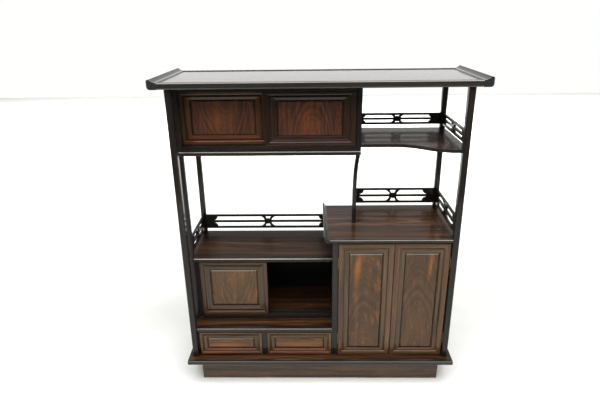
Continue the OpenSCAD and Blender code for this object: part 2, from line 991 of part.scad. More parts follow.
left_drawer_x = -drawer_side_in + drawer_side_gap;
right_drawer_x = divider_mid + divider_w / 2 + drawer_side_gap;

// Strips under the box sides of both drawers
module drawer_runners() {
    h = low_gap - runner_fit;
    color(inner_wood)
        for (d = [[left_drawer_x, left_drawer_w], [right_drawer_x, right_drawer_w]])
            for (x = [d[0] + box_inset, d[0] + d[1] - box_inset - runner_w])
                block(x, x + runner_w, low_y + door_t, panel_y, base_z, base_z + h);
}

module drawer_front(x, w) {
    translate([x, low_y, base_z + low_gap])
        door_frame(w, drawer_h, drawer_stile, drawer_rail, drawer_rail, drawer_band);
}

module drawer_panel(x, w) {
    translate([x, low_y, base_z + low_gap])
        door_panel(w, drawer_h, drawer_stile, drawer_rail, drawer_rail);
}

module drawer_box(x, w) {
    x0 = x + box_inset;
    x1 = x + w - box_inset;
    y0 = low_y + door_t;
    y1 = y0 + box_d;
    z = base_z + low_gap;
    difference() {
        union() {
            block(x0, x0 + box_t, y0, y1, z, z + box_h);
            block(x1 - box_t, x1, y0, y1, z, z + box_h);
            block(x0 + box_t, x1 - box_t, y1 - box_t, y1, z + bottom_z + bottom_t, z + box_h);
        }
        block(x0 + box_t - bottom_groove, x1 - box_t + bottom_groove, y0 - 1, y1 + 1,
              z + bottom_z, z + bottom_z + bottom_t);
    }
}

module drawer_bottom(x, w) {
    x0 = x + box_inset + box_t - bottom_groove;
    x1 = x + w - box_inset - box_t + bottom_groove;
    y0 = low_y + door_t;
    z = base_z + low_gap + bottom_z;
    block(x0 + fit, x1 - fit, y0, y0 + box_d, z, z + bottom_t);
}

module drawer_left_front() {
    color(brown_wood)
        drawer_front(left_drawer_x, left_drawer_w);
}

module drawer_left_panel() {
    color(rosewood)
        drawer_panel(left_drawer_x, left_drawer_w);
}

module drawer_left_box() {
    color(inner_wood)
        drawer_box(left_drawer_x, left_drawer_w);
}

module drawer_left_bottom() {
    color(inner_wood)
        drawer_bottom(left_drawer_x, left_drawer_w);
}

module drawer_right_front() {
    color(brown_wood)
        drawer_front(right_drawer_x, right_drawer_w);
}

module drawer_right_panel() {
    color(rosewood)
        drawer_panel(right_drawer_x, right_drawer_w);
}

module drawer_right_box() {
    color(inner_wood)
        drawer_box(right_drawer_x, right_drawer_w);
}

module drawer_right_bottom() {
    color(inner_wood)
        drawer_bottom(right_drawer_x, right_drawer_w);
}

// Right cabinet

// Section of the curled left end, standing free of the board
module curl_section() {
    x = cab_x - curl_overhang;
    crest = cab_z + curl_h;
    r_in = curl_h;
    difference() {
        union() {
            translate([x, cab_under + curl_r])
                square([curl_r, crest - curl_t / 2 - cab_under - curl_r]);
            intersection() {
                translate([x + curl_r, cab_under + curl_r])
                    circle(curl_r);
                translate([x, cab_under])
                    square([curl_r, curl_r]);
            }
            translate([x + curl_t / 2, crest - curl_t / 2])
                circle(curl_t / 2);
        }
        translate([x + curl_t + r_in, crest])
            circle(r_in);
        translate([x + curl_t, crest - curl_t / 2])
            square([curl_r, curl_t]);
        translate([x + curl_t + r_in, cab_z])
            square([curl_r, curl_h]);
    }
}

module cabinet_top() {
    y = low_y - cab_overhang;
    color(black_wood)
        difference() {
            union() {
                board(cab_x - curl_overhang + curl_r, half, y, rear_y, cab_under, cab_z, nose_r);
                translate([0, rear_y, 0])
                    rotate([90, 0, 0])
                        linear_extrude(rear_y - y)
                            curl_section();
            }
            post_cuts(cab_under - 1, cab_z + 1);
        }
}

module cabinet_side_left() {
    color(black_wood)
        difference() {
            block(cab_x, cab_in, low_y, rear_y, base_z, cab_under);
            hinge_recess(false);
            pegs(fit / 2);
        }
}

module cabinet_side_right() {
    color(black_wood)
        difference() {
            block(back_in, back_in + cab_panel_t, post_rear_y, back_post_y, base_z, cab_under);
            pegs(fit / 2);
        }
}

module cabinet_back() {
    color(inner_wood)
        block(cab_in, back_in, panel_y, panel_rear_y, base_z, cab_under);
}

module inner_shelf() {
    z = base_z + inner_shelf_z;
    color(inner_wood)
        block(cab_in + fit, back_in - fit, low_y + inner_shelf_setback, panel_y, z, z + inner_shelf_t);
}

// Four pegs under the inner shelf, or their holes with a wider radius
module pegs(extra) {
    z = base_z + inner_shelf_z - peg_r;
    y0 = low_y + inner_shelf_setback;
    for (y = [y0 + (panel_y - y0) / 6, y0 + (panel_y - y0) * 5 / 6]) {
        translate([cab_in - peg_in - extra, y, z])
            rotate([0, 90, 0])
                cylinder(r = peg_r + extra, h = peg_in + peg_out + extra);
        translate([back_in - peg_out, y, z])
            rotate([0, 90, 0])
                cylinder(r = peg_r + extra, h = peg_in + peg_out + extra);
    }
}

module shelf_pegs() {
    color(metal)
        pegs(0);
}

module door_stop() {
    y = low_y + door_t + knuckle_fit;
    color(inner_wood)
        block(cab_in, back_in, max(y, post_rear_y), y + stop_t, cab_under - stop_h, cab_under);
}

// Repeats children for the right door, mirrored about the middle of the cabinet's front
module mirrored() {
    translate([2 * cab_mid, 0, 0])
        mirror([1, 0, 0])
            children();
}

module at_hinged_door() {
    translate([cab_in + door_side_gap, low_y, base_z + low_gap])
        children();
}

module hinged_frame() {
    difference() {
        at_hinged_door()
            door_frame(hinged_w, hinged_h, hinged_stile, hinged_rail_low, hinged_rail_high, low_band);
        for (z = hinge_zs)
            block(hinge_x, hinge_x + leaf_gap + leaf_t, hinge_y, hinge_y + leaf_w, z, z + hinge_h);
    }
}

module hinged_panel() {
    at_hinged_door()
        door_panel(hinged_w, hinged_h, hinged_stile, hinged_rail_low, hinged_rail_high);
}

module cabinet_door_left_frame() {
    color(brown_wood)
        hinged_frame();
}

module cabinet_door_left_panel() {
    color(rosewood)
        hinged_panel();
}

module cabinet_door_right_frame() {
    color(brown_wood)
        mirrored()
            hinged_frame();
}

module cabinet_door_right_panel() {
    color(rosewood)
        mirrored()
            hinged_panel();
}

// Hinges

// Seat of the fixed leaves in the wood beside a door, with room for the knuckles where asked
module hinge_recess(knuckles) {
    for (z = hinge_zs) {
        block(hinge_x - leaf_gap - leaf_t, hinge_x, hinge_y, hinge_y + leaf_w, z, z + hinge_h);
        if (knuckles)
            translate([hinge_x, hinge_y, z - knuckle_room])
                cylinder(r = knuckle_r + knuckle_fit, h = hinge_h + 2 * knuckle_room);
    }
}

// Leaf behind the knuckle, then the knuckles at the heights in list, bored for the pin
module leaf(side, list) {
    x0 = min(side * leaf_gap, side * (leaf_gap + leaf_t));
    clear = knuckle_r + knuckle_fit;
    difference() {
        union() {
            block(x0, x0 + leaf_t, clear, leaf_w, 0, hinge_h);
            for (k = list) {
                translate([0, 0, k[0]])
                    cylinder(r = knuckle_r, h = k[1] - k[0]);
                block(x0, x0 + leaf_t, 0, clear, k[0], k[1]);
            }
        }
        translate([0, 0, -1])
            cylinder(r = pin_r + pin_fit, h = hinge_h + 2);
    }
}

module hinge_fixed() {
    third = hinge_h / 3;
    for (z = hinge_zs)
        translate([hinge_x, hinge_y, z]) {
            leaf(-1, [[0, third], [hinge_h - third, hinge_h]]);
            cylinder(r = pin_r, h = hinge_h);
            translate([0, 0, hinge_h])
                cylinder(r = knuckle_r - knuckle_fit, h = 1);
        }
}

module hinge_moving() {
    third = hinge_h / 3;
    for (z = hinge_zs)
        translate([hinge_x, hinge_y, z])
            leaf(1, [[third + knuckle_fit, hinge_h - third - knuckle_fit]]);
}

module hinges_fixed() {
    color(metal) {
        hinge_fixed();
        mirrored()
            hinge_fixed();
    }
}

module hinge_leaves_left() {
    color(metal)
        hinge_moving();
}

module hinge_leaves_right() {
    color(metal)
        mirrored()
            hinge_moving();
}

// Upper right shelf

// Two equal arcs carry the front edge forward: the first is hollow, the second full
module upper_right_shelf() {
    x0 = case_right_x + s_start;
    x1 = x0 + s_length;
    xm = (x0 + x1) / 2;
    y1 = case_y - s_advance;
    ym = case_y - s_advance / 2;
    r = (s_length * s_length / 4 + s_advance * s_advance / 4) / s_advance;
    color(black_wood)
        difference() {
            translate([0, 0, s_z - s_shelf_t])
                linear_extrude(s_shelf_t) {
                    translate([case_right_x, case_y])
                        square([half - case_right_x, rear_y - case_y]);
                    difference() {
                        translate([x0, ym])
                            square([xm - x0, case_y - ym]);
                        translate([x0, case_y - r])
                            circle(r, $fn = 240);
                    }
                    intersection() {
                        translate([xm, y1])
                            square([x1 - xm, case_y - y1]);
                        translate([x1, y1 + r])
                            circle(r, $fn = 240);
                    }
                    translate([x1, y1])
                        square([half - x1, case_y - y1]);
                }
            post_cuts(s_z - s_shelf_t - 1, s_z + 1);
            block(post_in, half + 1, y1 - 1, post_y + 1, s_z - s_shelf_t - 1, s_z + 1);
        }
}

// Openwork rails

// Outline of a rail of length l and height h, with end blocks of widths w0 and w1
module gallery_shape(l, h, w0, w1, lobe) {
    mid = (w0 + l - w1) / 2;
    open_h = h / 2 - bar_h;
    r = (open_h * open_h + arc_sag * arc_sag) / (2 * arc_sag);
    reach = arc_neck + arc_w + r;
    for (z = [0, (h - bar_h) / 2, h - bar_h])
        translate([0, z])
            square([l, bar_h]);
    square([w0, h]);
    translate([l - w1, 0])
        square([w1, h]);
    intersection() {
        square([l, h]);
        for (x = [w0, l - w1], z = [bar_h, h - bar_h])
            translate([x, z])
                circle(lobe);
    }
    intersection() {
        translate([mid - reach, 0])
            square([2 * reach, h]);
        for (side = [-1, 1])
            translate([mid + side * reach, h / 2])
                difference() {
                    circle(r + arc_w);
                    circle(r);
                }
    }
}

module gallery(l, h, w0, w1, lobe) {
    translate([0, gallery_t, 0])
        rotate([90, 0, 0])
            linear_extrude(gallery_t)
                gallery_shape(l, h, w0, w1, lobe);
    translate([(w0 + l - w1) / 2, gallery_t + boss_out, h / 2])
        rotate([90, 0, 0])
            cylinder(r = boss_r, h = gallery_t + 2 * boss_out);
}

module gallery_along(x0, x1, z, h, w0, w1, lobe) {
    translate([x0, gallery_y, z])
        gallery(x1 - x0, h, w0, w1, lobe);
}

module gallery_back(x, y0, y1, z, h, lobe) {
    translate([x + gallery_t / 2, y0, z])
        rotate([0, 0, 90])
            gallery(y1 - y0, h, end_block_w, end_block_w, lobe);
}

module back_galleries() {
    color(black_wood) {
        gallery_along(case_right_x, back_in, s_z + upper_gallery_gap, upper_gallery_h,
                      end_block_w, upper_block_w, lobe_r);
        gallery_along(cab_x + short_post_x + short_post_s / 2, back_in, cab_z + right_gallery_gap, right_gallery_h,
                      short_block_w, end_block_w, tall_lobe_r);
        gallery_along(-back_in, cab_x, left_z + left_gallery_gap, left_gallery_h,
                      end_block_w, end_block_w, tall_lobe_r);
    }
}

module side_galleries() {
    x = half - front_post_w / 2;
    color(black_wood) {
        gallery_back(x, post_rear_y, back_post_y, s_z + upper_gallery_gap, upper_gallery_h, lobe_r);
        gallery_back(x, post_rear_y, back_post_y, cab_z + right_gallery_gap, right_gallery_h, tall_lobe_r);
        gallery_back(-half + pole_s / 2, case_y + pole_s, back_post_y, left_z + left_gallery_gap, left_gallery_h,
                     tall_lobe_r);
    }
}

plinth_boards();
base_board();
top_board();
top_end_left();
top_end_right();
front_post_left();
front_post_right();
back_post_left();
back_post_right();
inner_pole();
curved_pole();
short_post();
case_bottom();
case_side_right();
case_stile_left();
case_panel_left();
case_back();
case_sill();
case_header();
case_door_left_frame();
case_door_left_panel();
case_door_right_frame();
case_door_right_panel();
left_shelf();
bay_side_left();
bay_sill();
left_back();
bay_door_front_frame();
bay_door_front_panel();
bay_door_rear_frame();
bay_door_rear_panel();
middle_board();
drawer_side_left();
drawer_divider();
drawer_runners();
drawer_left_front();
drawer_left_panel();
drawer_left_box();
drawer_left_bottom();
drawer_right_front();
drawer_right_panel();
drawer_right_box();
drawer_right_bottom();
cabinet_top();
cabinet_side_left();
cabinet_side_right();
cabinet_back();
inner_shelf();
shelf_pegs();
door_stop();
cabinet_door_left_frame();
cabinet_door_left_panel();
cabinet_door_right_frame();
cabinet_door_right_panel();
hinges_fixed();
hinge_leaves_left();
hinge_leaves_right();
upper_right_shelf();
back_galleries();
side_galleries();
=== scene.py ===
import math

import bpy
from mathutils import Matrix, Vector


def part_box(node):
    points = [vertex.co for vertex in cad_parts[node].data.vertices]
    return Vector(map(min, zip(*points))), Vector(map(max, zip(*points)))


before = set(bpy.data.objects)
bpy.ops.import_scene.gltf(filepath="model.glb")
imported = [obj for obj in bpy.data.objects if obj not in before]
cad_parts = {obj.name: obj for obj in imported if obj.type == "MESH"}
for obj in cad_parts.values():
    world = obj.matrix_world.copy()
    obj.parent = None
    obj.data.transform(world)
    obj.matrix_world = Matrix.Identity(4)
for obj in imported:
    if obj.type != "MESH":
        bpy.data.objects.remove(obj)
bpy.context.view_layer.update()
scene = bpy.context.scene

# Camera
# It stands a little above the cabinet's top, 1.9 m in front of its middle, and looks down by 21 degrees.
# Place, turn and lens come from the straight edges of the posts and boards in the photograph.
FRAME_PIXELS = 600
FOCAL_PIXELS = 493.584
SHIFT_PIXELS = (-5.85, 6.66)
CAMERA_PLACE = (-0.01692, -1.91466, 1.48738)
PITCH, YAW, ROLL = 0.370497, -0.0195944, -0.0120194
ahead = Vector((math.sin(YAW) * math.cos(PITCH), math.cos(YAW) * math.cos(PITCH), -math.sin(PITCH)))
level = Vector((math.cos(YAW), -math.sin(YAW), 0))
upright = level.cross(ahead)
right = math.cos(ROLL) * level + math.sin(ROLL) * upright
up = math.cos(ROLL) * upright - math.sin(ROLL) * level
lens = bpy.data.cameras.new("camera")
lens.lens = FOCAL_PIXELS / FRAME_PIXELS * lens.sensor_width
lens.shift_x, lens.shift_y = (shift / FRAME_PIXELS for shift in SHIFT_PIXELS)
camera = bpy.data.objects.new("camera", lens)
turned_camera = Matrix((right, up, -ahead)).transposed().to_4x4()
camera.matrix_world = Matrix.Translation(CAMERA_PLACE) @ turned_camera
scene.collection.objects.link(camera)
scene.camera = camera

# Plinth
# Four boards of near-black lacquered wood stand on edge in a ring, set back under the base board.
# The grain runs along each board, and the lacquer is clear and glossy over it.
GRAIN_STRETCH = 0.045
FIBRES_PER_METRE = 420
PORES_PER_METRE = 1300
GRAIN_RELIEF = 0.0002
WOOD_IOR = 1.5
GLOSS = 0.07


def node(tree, kind, values=(), **settings):
    made = tree.nodes.new("ShaderNode" + kind)
    for key, value in settings.items():
        setattr(made, key, value)
    for socket, value in dict(values).items():
        if isinstance(value, bpy.types.NodeSocket):
            tree.links.new(value, made.inputs[socket])
        else:
            made.inputs[socket].default_value = value
    return made


def calc(tree, operation, a, b=0.0, c=0.0):
    return node(tree, "Math", {0: a, 1: b, 2: c}, operation=operation).outputs[0]


def spread(tree, value, low, high, to_low=0.0, to_high=1.0):
    values = {"Value": value, "From Min": low, "From Max": high, "To Min": to_low, "To Max": to_high}
    return node(tree, "MapRange", values, interpolation_type="SMOOTHSTEP").outputs["Result"]


def ramp(tree, value, stops):
    made = node(tree, "ValToRGB", {"Fac": value})
    band = made.color_ramp
    while len(band.elements) < len(stops):
        band.elements.new(0.5)
    for element, (place, colour) in zip(band.elements, stops):
        element.position = place
        element.color = (*colour, 1)
    return made.outputs["Color"]


def tinted(stops, shares):
    return [(place, [c * share for c, share in zip(colour, shares)]) for place, colour in stops]


def blended(tree, share, first, second):
    first, second = (c if isinstance(c, bpy.types.NodeSocket) else (*c, 1) for c in (first, second))
    return node(tree, "Mix", {0: share, 6: first, 7: second}, data_type="RGBA").outputs[2]


def noise(tree, place, per_metre, detail=3.0, rough=0.5, twist=0.0):
    values = {"Vector": place, "Scale": per_metre, "Detail": detail, "Roughness": rough, "Distortion": twist}
    return node(tree, "TexNoise", values).outputs["Fac"]


def stretched(tree, place, axis, share):
    scale = [share if a == axis else 1.0 for a in "XYZ"]
    return node(tree, "Mapping", {"Vector": place, "Scale": scale}).outputs["Vector"]


def fibres_and_pores(tree, grain, pores_per_metre=PORES_PER_METRE, open_below=0.36):
    fibres = noise(tree, grain, FIBRES_PER_METRE, rough=0.6)
    return fibres, spread(tree, noise(tree, grain, pores_per_metre, detail=2), open_below, 0.5)


def dark_pores(tree, colour, pores, share, dark):
    return blended(tree, calc(tree, "MULTIPLY", calc(tree, "SUBTRACT", 1.0, pores), share), colour, dark)


def arris_normal(tree, radius):
    return node(tree, "Bevel", {"Radius": radius}, samples=6).outputs["Normal"]


def worn_arris(tree, rounded):
    flat = node(tree, "NewGeometry").outputs["Normal"]
    meet = node(tree, "VectorMath", {0: rounded, 1: flat}, operation="DOT_PRODUCT").outputs["Value"]
    return spread(tree, meet, 0.995, 0.8)


def patchy_wear(tree, place, rounded, most, per_metre=45, low=0.42, high=0.62):
    """Wear along the arrises that comes and goes, and takes away at most that share of the colour"""
    patches = spread(tree, noise(tree, place, per_metre, detail=4, rough=0.6), low, high)
    return calc(tree, "MULTIPLY", calc(tree, "MULTIPLY", worn_arris(tree, rounded), patches), most)


def lacquer(tree, colour, rounded, fibres, pores, clear, gloss=GLOSS, rough=(0.28, 0.42), under=0.15,
            coat=1.5):
    """Wood under a clear coat: clear is the coat's weight, coat its IOR, and under the wood's own shine"""
    shader = tree.nodes["Principled BSDF"]
    shader.inputs["Coat Weight"].default_value = clear
    shader.inputs["Coat IOR"].default_value = coat
    shader.inputs["Specular IOR Level"].default_value = under
    shader.inputs["Coat Roughness"].default_value = gloss
    shader.inputs["IOR"].default_value = WOOD_IOR
    height = calc(tree, "MULTIPLY_ADD", pores, 0.6, fibres)
    relief = {"Height": height, "Strength": 0.22, "Distance": GRAIN_RELIEF, "Normal": rounded}
    tree.links.new(colour, shader.inputs["Base Color"])
    tree.links.new(spread(tree, fibres, 0.3, 0.7, *rough), shader.inputs["Roughness"])
    tree.links.new(node(tree, "Bump", relief).outputs["Normal"], shader.inputs["Normal"])
    tree.links.new(rounded, shader.inputs["Coat Normal"])


def new_finish(name):
    made = bpy.data.materials.new(name)
    made.use_nodes = True
    tree = made.node_tree
    return made, tree, node(tree, "TexCoord").outputs["Object"]


def dress(finish, *names):
    for name in names:
        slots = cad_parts[name].material_slots
        for slot in slots:
            slot.material = finish
        if not slots:
            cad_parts[name].data.materials.append(finish)


BLACK = (0.0065, 0.0058, 0.005)
BLACK_LIGHT = (0.021, 0.017, 0.013)
BLACK_WORN = (0.075, 0.052, 0.038)
BLACK_PORE = (0.006, 0.004, 0.003)
BLACK_STOPS = ((0.42, BLACK), (0.66, (0.011, 0.009, 0.008)), (0.9, BLACK_LIGHT))
PLINTH_STOPS = (
    (0.44, (0.012, 0.008, 0.006)),
    (0.60, (0.040, 0.026, 0.016)),
    (0.76, (0.110, 0.056, 0.028)),
)


def black_wood(name, axis, stops=BLACK_STOPS, clear=0.45, coat=1.5):
    made, tree, place = new_finish(name)
    grain = stretched(tree, place, axis, GRAIN_STRETCH)
    bands = noise(tree, grain, per_metre=60, detail=6, rough=0.62, twist=0.6)
    fibres, pores = fibres_and_pores(tree, grain)
    colour = ramp(tree, calc(tree, "MULTIPLY_ADD", fibres, 0.35, bands), stops)
    colour = dark_pores(tree, colour, pores, 0.5, BLACK_PORE)
    rounded = arris_normal(tree, radius=0.0012)
    colour = blended(tree, patchy_wear(tree, place, rounded, most=0.55), colour, BLACK_WORN)
    lacquer(tree, colour, rounded, fibres, pores, clear, under=0.06, coat=coat)
    return made


black_lengthwise = black_wood("black_lacquer_lengthwise", "X")
dress(black_wood("plinth_lacquer", "X", PLINTH_STOPS, clear=0.6), "plinth_boards")

# Base board, middle board, case bottom, cabinet top, top board and open shelves
# Wide boards of figured brown wood are banded with the black wood and lacquered to a mirror.
# They are notched round the posts, and a painted highlight pales their rounded front edges where they face
# forward and up.
BROWN_STOPS = (
    (0.36, (0.004, 0.002, 0.0015)),
    (0.47, (0.016, 0.007, 0.004)),
    (0.56, (0.056, 0.024, 0.010)),
    (0.70, (0.200, 0.088, 0.034)),
)
# The pale grey of the painted highlight on the board noses
PAINTED_NOSE_HIGHLIGHT = (0.400, 0.355, 0.300)
EDGE_BAND = 0.012
CURL_WIDTH = 0.018
BOARD_HEART, BOARD_HEART_DEPTH = (0.1, 0.02), 0.03
BOARD_ZONE, BOARD_RING = 0.030, 0.006
WANDER, WANDER_STRETCH, WANDERS_PER_METRE = 0.08, 0.35, 9


def from_heart(tree, place, axis, across, heart, depth, tilt):
    """How far each point lies from the tree's heart, so that growth draws arches along a sawn board"""
    split = node(tree, "SeparateXYZ", {"Vector": place})
    slow = stretched(tree, place, axis, WANDER_STRETCH)
    wander = calc(tree, "SUBTRACT", noise(tree, slow, WANDERS_PER_METRE), 0.5)
    aside = calc(tree, "SUBTRACT", split.outputs[across], heart[1])
    aside = calc(tree, "MULTIPLY_ADD", wander, WANDER, aside)
    below = calc(tree, "MULTIPLY_ADD", calc(tree, "SUBTRACT", split.outputs[axis], heart[0]), tilt, depth)
    squares = (calc(tree, "MULTIPLY", side, side) for side in (aside, below))
    return calc(tree, "SQRT", calc(tree, "ADD", *squares))


def growth(tree, away, width, detail=2.0):
    values = {"W": away, "Scale": 1 / width, "Detail": detail, "Roughness": 0.55}
    return node(tree, "TexNoise", values, noise_dimensions="1D").outputs["Fac"]


def veneered_board(name, band_y, left_x, clear, shade, nose_highlight, coat=1.5):
    """Black wood with brown veneer on its level faces, behind band_y and to the right of left_x"""
    made, tree, place = new_finish(name)
    grain = stretched(tree, place, "X", GRAIN_STRETCH)
    away = from_heart(tree, place, "X", "Y", BOARD_HEART, BOARD_HEART_DEPTH, tilt=0.05)
    zones = growth(tree, away, BOARD_ZONE, detail=3)
    rings = growth(tree, away, BOARD_RING)
    bands = noise(tree, grain, per_metre=34, detail=5, rough=0.6, twist=0.8)
    fibres, pores = fibres_and_pores(tree, grain)
    marks = calc(tree, "MULTIPLY_ADD", fibres, 0.1, calc(tree, "MULTIPLY", bands, 0.3))
    tone = calc(tree, "SUBTRACT", calc(tree, "MULTIPLY_ADD", rings, 0.2, marks), 0.025)
    tone = calc(tree, "MULTIPLY_ADD", zones, 0.5, tone)
    brown = ramp(tree, tone, tinted(BROWN_STOPS, (shade,) * 3))
    black_stops = (BLACK_STOPS[0], BLACK_STOPS[-1])
    black = ramp(tree, calc(tree, "MULTIPLY_ADD", fibres, 0.35, bands), black_stops)
    facing = node(tree, "SeparateXYZ", {"Vector": node(tree, "NewGeometry").outputs["True Normal"]})
    split = node(tree, "SeparateXYZ", {"Vector": place})
    inside = calc(tree, "MULTIPLY", calc(tree, "GREATER_THAN", split.outputs["Y"], band_y),
                  calc(tree, "GREATER_THAN", split.outputs["X"], left_x))
    level_face = calc(tree, "GREATER_THAN", calc(tree, "ABSOLUTE", facing.outputs["Z"]), 0.7)
    veneer = calc(tree, "MULTIPLY", inside, level_face)
    rounded = arris_normal(tree, radius=0.0015)
    wear = patchy_wear(tree, place, rounded, most=0.5)
    colour = blended(tree, wear, blended(tree, veneer, black, brown), BLACK_WORN)
    # A face on the rounded front edge looks both forward and up
    nose = calc(tree, "MULTIPLY", calc(tree, "MULTIPLY", facing.outputs["Z"], facing.outputs["Y"]), -1.0)
    # Painted highlight: where the nose faces forward and up, its colour is lightened towards a pale grey,
    # streaked by the grain
    nose_highlight_mask = calc(tree, "MULTIPLY", spread(tree, nose, 0.22, 0.42), spread(tree, bands, 0.25, 0.6, 0.55, 1.0))
    colour = blended(tree, calc(tree, "MULTIPLY", nose_highlight_mask, nose_highlight), colour, PAINTED_NOSE_HIGHLIGHT)
    lacquer(tree, colour, rounded, fibres, pores, clear, coat=coat)
    return made


LEFT_OF_ALL = -1
# Each board's front band, clear coat, shade of brown, share of painted highlight on its nose and the coat's
# IOR
for board, banding, clear, shade, nose_highlight, coat in (
    ("base_board", EDGE_BAND, 0.45, 0.75, 0.15, 1.5),
    ("middle_board", EDGE_BAND, 0.4, 0.75, 0.36, 1.5),
    ("left_shelf", EDGE_BAND, 0.1, 0.5, 1.0, 1.5),
    ("case_bottom", EDGE_BAND, 0.5, 0.8, 0.7, 1.5),
    ("top_board", EDGE_BAND, 0.9, 0.45, 0.2, 1.6),
    ("upper_right_shelf", 0, 0.3, 0.7, 0.0, 1.5),
):
    band_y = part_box(board)[0].y + banding
    dress(veneered_board(board + "_finish", band_y, LEFT_OF_ALL, clear, shade, nose_highlight, coat), board)
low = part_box("cabinet_top")[0]
cabinet_top_finish = veneered_board("cabinet_top_finish", low.y + EDGE_BAND, low.x + CURL_WIDTH,
                                    clear=0.3, shade=1.15, nose_highlight=0.6)
dress(cabinet_top_finish, "cabinet_top")

# Raised ends of the top board
# A length of black wood is glued along each end of the top board and sweeps up to a rounded crest.
# It has the thickest lacquer of all the pieces and shines like the top board beside it.
dress(black_wood("top_end_lacquer", "Y", clear=1.0, coat=2.1), "top_end_left", "top_end_right")

# Posts, poles and stiles
# Straight-grained black wood is planed square, its arrises are rounded, and it is tenoned into the boards.
# The curved pole is steam bent, and a turned bead meets the case's corner.
black_upright = black_wood("black_lacquer_upright", "Z")
dress(black_upright, "front_post_left", "front_post_right", "back_post_left", "back_post_right")
dress(black_upright, "inner_pole", "curved_pole", "short_post", "case_stile_left")

# Side boards, dividers, sills and the header
# Plain boards of the black wood stand between the shelves.
# Sill and header carry the grooves that the sliding doors run in.
dress(black_upright, "case_side_right", "bay_side_left", "cabinet_side_left")
dress(black_upright, "drawer_side_left", "drawer_divider")
dress(black_lengthwise, "case_sill", "case_header", "bay_sill")

# Panels, backs, inner shelf and drawer boxes
# Thin boards of stained wood with a dull clear finish are grooved or pinned in behind the show faces.
# The side of the bay's back that shows is painted near-black, a painted shade for the dark bay.
PLAIN_STOPS = ((0.32, (0.035, 0.021, 0.014)), (0.55, (0.075, 0.045, 0.029)), (0.8, (0.125, 0.078, 0.050)))


def stained_wood(name, axis, painted_shade=0.0):
    made, tree, place = new_finish(name)
    grain = stretched(tree, place, axis, GRAIN_STRETCH)
    bands = noise(tree, grain, per_metre=40, detail=6, rough=0.6, twist=0.7)
    fibres, pores = fibres_and_pores(tree, grain, pores_per_metre=1200)
    tone = calc(tree, "MULTIPLY_ADD", fibres, 0.3, calc(tree, "MULTIPLY", bands, 0.85))
    facing = node(tree, "SeparateXYZ", {"Vector": node(tree, "NewGeometry").outputs["True Normal"]})
    # Painted shade: faces turned to the front are darkened to the black wood's colour by the given share
    to_front = calc(tree, "LESS_THAN", facing.outputs["Y"], -0.5)
    black = calc(tree, "MULTIPLY", to_front, painted_shade)
    colour = blended(tree, black, ramp(tree, tone, PLAIN_STOPS), BLACK)
    rounded = arris_normal(tree, radius=0.0008)
    lacquer(tree, colour, rounded, fibres, pores, clear=0.15, gloss=0.3, rough=(0.5, 0.62))
    return made


stained_upright = stained_wood("stained_wood_upright", "Z")
stained_lengthwise = stained_wood("stained_wood_lengthwise", "X")
stained_crosswise = stained_wood("stained_wood_crosswise", "Y")
dress(stained_upright, "case_back", "cabinet_back", "cabinet_side_right", "case_panel_left")
dress(stained_wood("painted_shade_front_wood", "Z", painted_shade=1.0), "left_back")
dress(stained_lengthwise, "inner_shelf", "door_stop", "drawer_left_bottom", "drawer_right_bottom")
dress(stained_crosswise, "drawer_runners", "drawer_left_box", "drawer_right_box")

# Frames of the doors and drawer fronts
# Two stiles and two rails of brown wood are mitred round each panel, with a groove and a ridged moulding.
# The grain turns with each member. Wear has lightened the arrises, and painted shade darkens groove and outer
# edge.
FRAME_STOPS = (
    (0.30, (0.020, 0.010, 0.004)),
    (0.50, (0.056, 0.027, 0.010)),
    (0.66, (0.095, 0.045, 0.016)),
    (0.85, (0.150, 0.072, 0.026)),
)
FRAME_WORN = (0.20, 0.12, 0.07)
# Colour of the painted shade in grooves, at the frames' outer edges and on the panels' bevels
RECESS_SHADE = (0.010, 0.006, 0.005)
GROOVE_SHADE = (0.0036, 0.0056, 0.9)
EDGE_SHADE = (0.075, 0.02, 0.0, 0.75)


def shade_by_depth(tree, y, front, start, full, most):
    """How dark the painted shade is at each depth behind a front face"""
    return spread(tree, y, front + start, front + full, 0.0, most)


